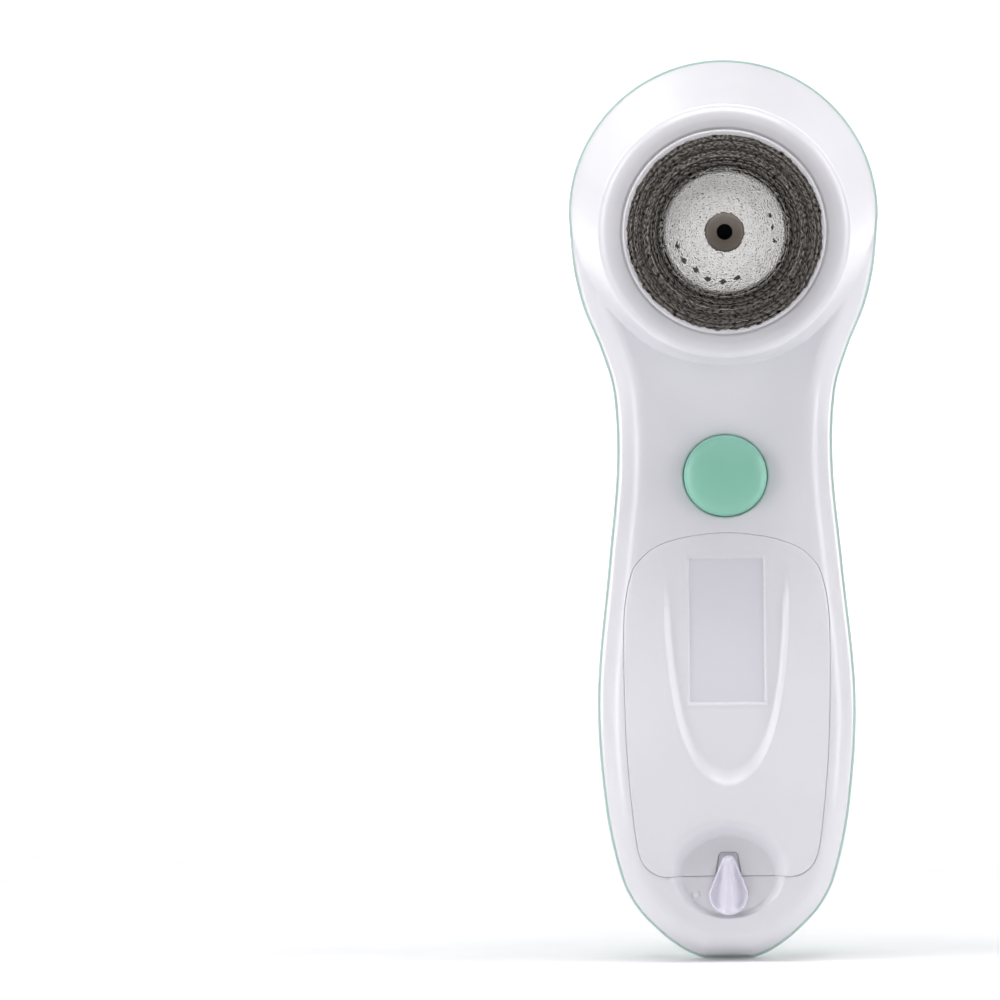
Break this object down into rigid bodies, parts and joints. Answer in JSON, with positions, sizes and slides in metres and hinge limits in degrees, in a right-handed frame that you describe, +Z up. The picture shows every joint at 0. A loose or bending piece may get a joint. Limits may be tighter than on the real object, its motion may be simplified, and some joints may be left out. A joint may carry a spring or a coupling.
{
  "type": "facial cleansing brush",
  "caption": "Battery facial cleansing brush: bent waisted handle with round head, rotating two-tone bristle disc, push button and latched battery door.",
  "frame": {"origin": "centre of the flat foot face at the tail of the handle", "axes": "+Z up the handle to the head, +X to the right seen from the brush side, the brush faces -Y"},
  "size_m": [0.0622, 0.0614, 0.1796],
  "materials": {
    "white_shell": "satin moulded ABS",
    "mint_shell": "satin moulded ABS",
    "lavender_white": "satin moulded ABS",
    "seal_rubber": "matt",
    "silicone": "translucent matt",
    "dark_bristle": "fine nylon filaments",
    "white_bristle": "fine nylon filaments",
    "grey_cup": "matt",
    "steel": "plated",
    "brass": "turned",
    "gear_plastic": "natural acetal",
    "inner_plastic": "moulded ABS",
    "circuit_board": "solder mask",
    "black_plastic": "moulded",
    "cell_sleeve": null,
    "red_wire": "PVC insulation",
    "black_wire": "PVC insulation"
  },
  "bodies": {
    "handle": {"front_shell": "white_shell", "rear_shell": "mint_shell", "shell_gasket": "seal_rubber", "door_seal": "seal_rubber", "latch_seal": "seal_rubber", "button_membrane": "silicone", "switch_body": "black_plastic", "circuit_board": "circuit_board", "board_screw_1": "steel", "board_screw_2": "steel", "battery_left": "cell_sleeve", "battery_right": "cell_sleeve", "contact_bridge": "steel", "contact_spring_left": "steel", "contact_spring_right": "steel", "contact_terminal_left": "steel", "contact_terminal_right": "steel", "battery_tray": "inner_plastic", "idler_axle": "steel", "motor_can": "steel", "motor_end_cap": "black_plastic", "gear_plate": "inner_plastic", "gear_lid": "inner_plastic", "spindle_bush": "brass", "spindle_seal": "seal_rubber", "motor_wire_red": "red_wire", "battery_wire_red": "red_wire", "motor_wire_black": "black_wire", "battery_wire_black": "black_wire", "body_screw_1": "steel", "body_screw_2": "steel", "body_screw_3": "steel", "body_screw_4": "steel", "body_screw_5": "steel", "body_screw_6": "steel", "lid_screw_1": "steel", "plate_screw_1": "steel", "lid_screw_2": "steel", "plate_screw_2": "steel", "lid_screw_3": "steel", "plate_screw_3": "steel"},
    "door": {"battery_door": "white_shell"},
    "latch": {"latch_knob": "lavender_white", "latch_cam": "steel", "latch_screw": "steel"},
    "button": {"power_button": "mint_shell", "switch_plunger": "black_plastic"},
    "drive": {"spindle": "steel", "output_gear": "gear_plastic"},
    "idler": {"idler_gear": "gear_plastic"},
    "rotor": {"motor_shaft": "steel", "motor_pinion": "brass"},
    "brush_head": {"brush_base": "white_shell", "brush_hub": "inner_plastic", "bristles_outer": "dark_bristle", "bristles_inner": "white_bristle", "brush_centre_cup": "grey_cup"}
  },
  "joints": [
    {"name": "brush_spin", "type": "hinge", "parent": "handle", "child": "drive", "pos_m": [0, 0, 0.1455], "axis": [0, -1, 0], "continuous": true},
    {"name": "brush_pull", "type": "slide", "parent": "drive", "child": "brush_head", "axis": [0, -1, 0], "range_m": [0, 0.03]},
    {"name": "idler_spin", "type": "hinge", "parent": "handle", "child": "idler", "pos_m": [0.00909, 0, 0.13846], "axis": [0, -1, 0], "continuous": true},
    {"name": "motor_spin", "type": "hinge", "parent": "handle", "child": "rotor", "pos_m": [0, 0, 0.1343], "axis": [0, -1, 0], "continuous": true},
    {"name": "button_press", "type": "slide", "parent": "handle", "child": "button", "axis": [0, 0.9636, -0.2672], "range_m": [0, 0.001], "stiffness_N_per_m": 1500},
    {"name": "latch_turn", "type": "hinge", "parent": "handle", "child": "latch", "pos_m": [0, -0.01, 0.0136], "axis": [0, -1, 0], "range_deg": [0, 90]},
    {"name": "door_open", "type": "hinge", "parent": "handle", "child": "door", "pos_m": [0, 0.0007, 0.0855], "axis": [-1, 0, 0], "range_deg": [0, 70]}
  ],
  "couplings": [
    {"joint": "idler_spin", "follows": "brush_spin", "ratio": -3.6},
    {"joint": "motor_spin", "follows": "brush_spin", "ratio": 14.4}
  ]
}
